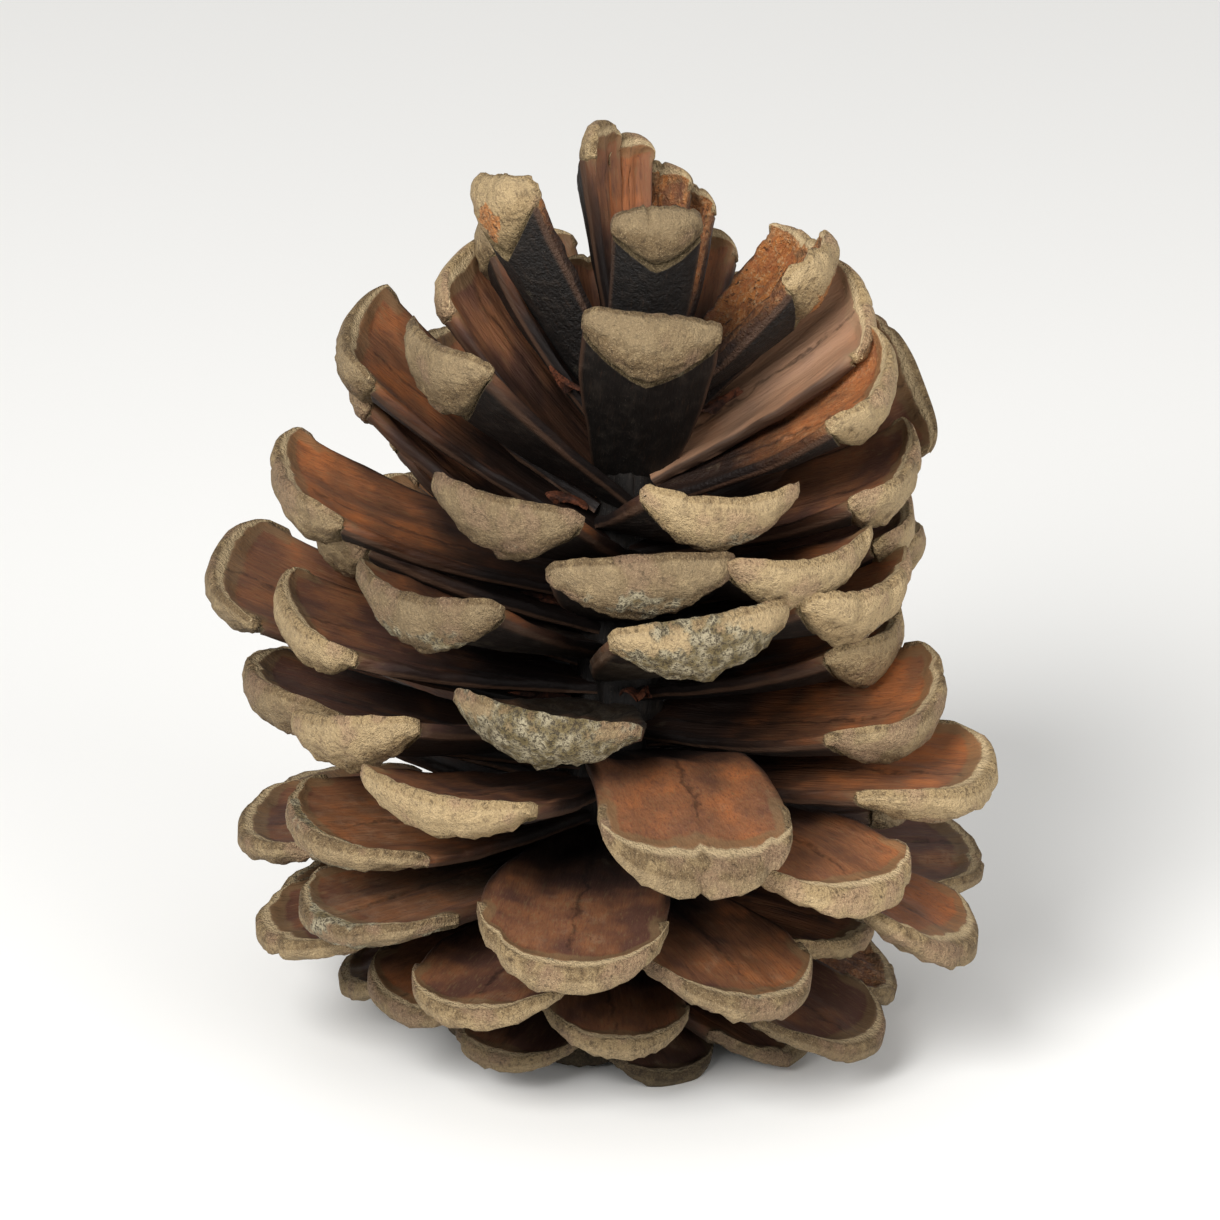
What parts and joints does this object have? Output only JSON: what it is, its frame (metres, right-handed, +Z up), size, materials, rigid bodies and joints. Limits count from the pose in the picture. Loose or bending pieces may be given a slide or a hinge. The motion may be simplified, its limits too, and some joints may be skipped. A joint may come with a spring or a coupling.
{
  "type": "pine cone",
  "caption": "Open, dried pine cone with woody seed scales set in a spiral round one axis; stands on its stalk end as natural decoration.",
  "frame": {"origin": "centre of the stalk scar, on the surface the cone rests on", "axes": "+Z up along the cone, towards its tip; -Y is the side the scale numbering starts nearest to; the cone leans a little towards +X"},
  "size_m": [0.0649, 0.0637, 0.0778],
  "materials": {
    "cone_wood": "dry, matt, weathered"
  },
  "bodies": {
    "root": {"cone": "cone_wood"}
  },
  "joints": []
}
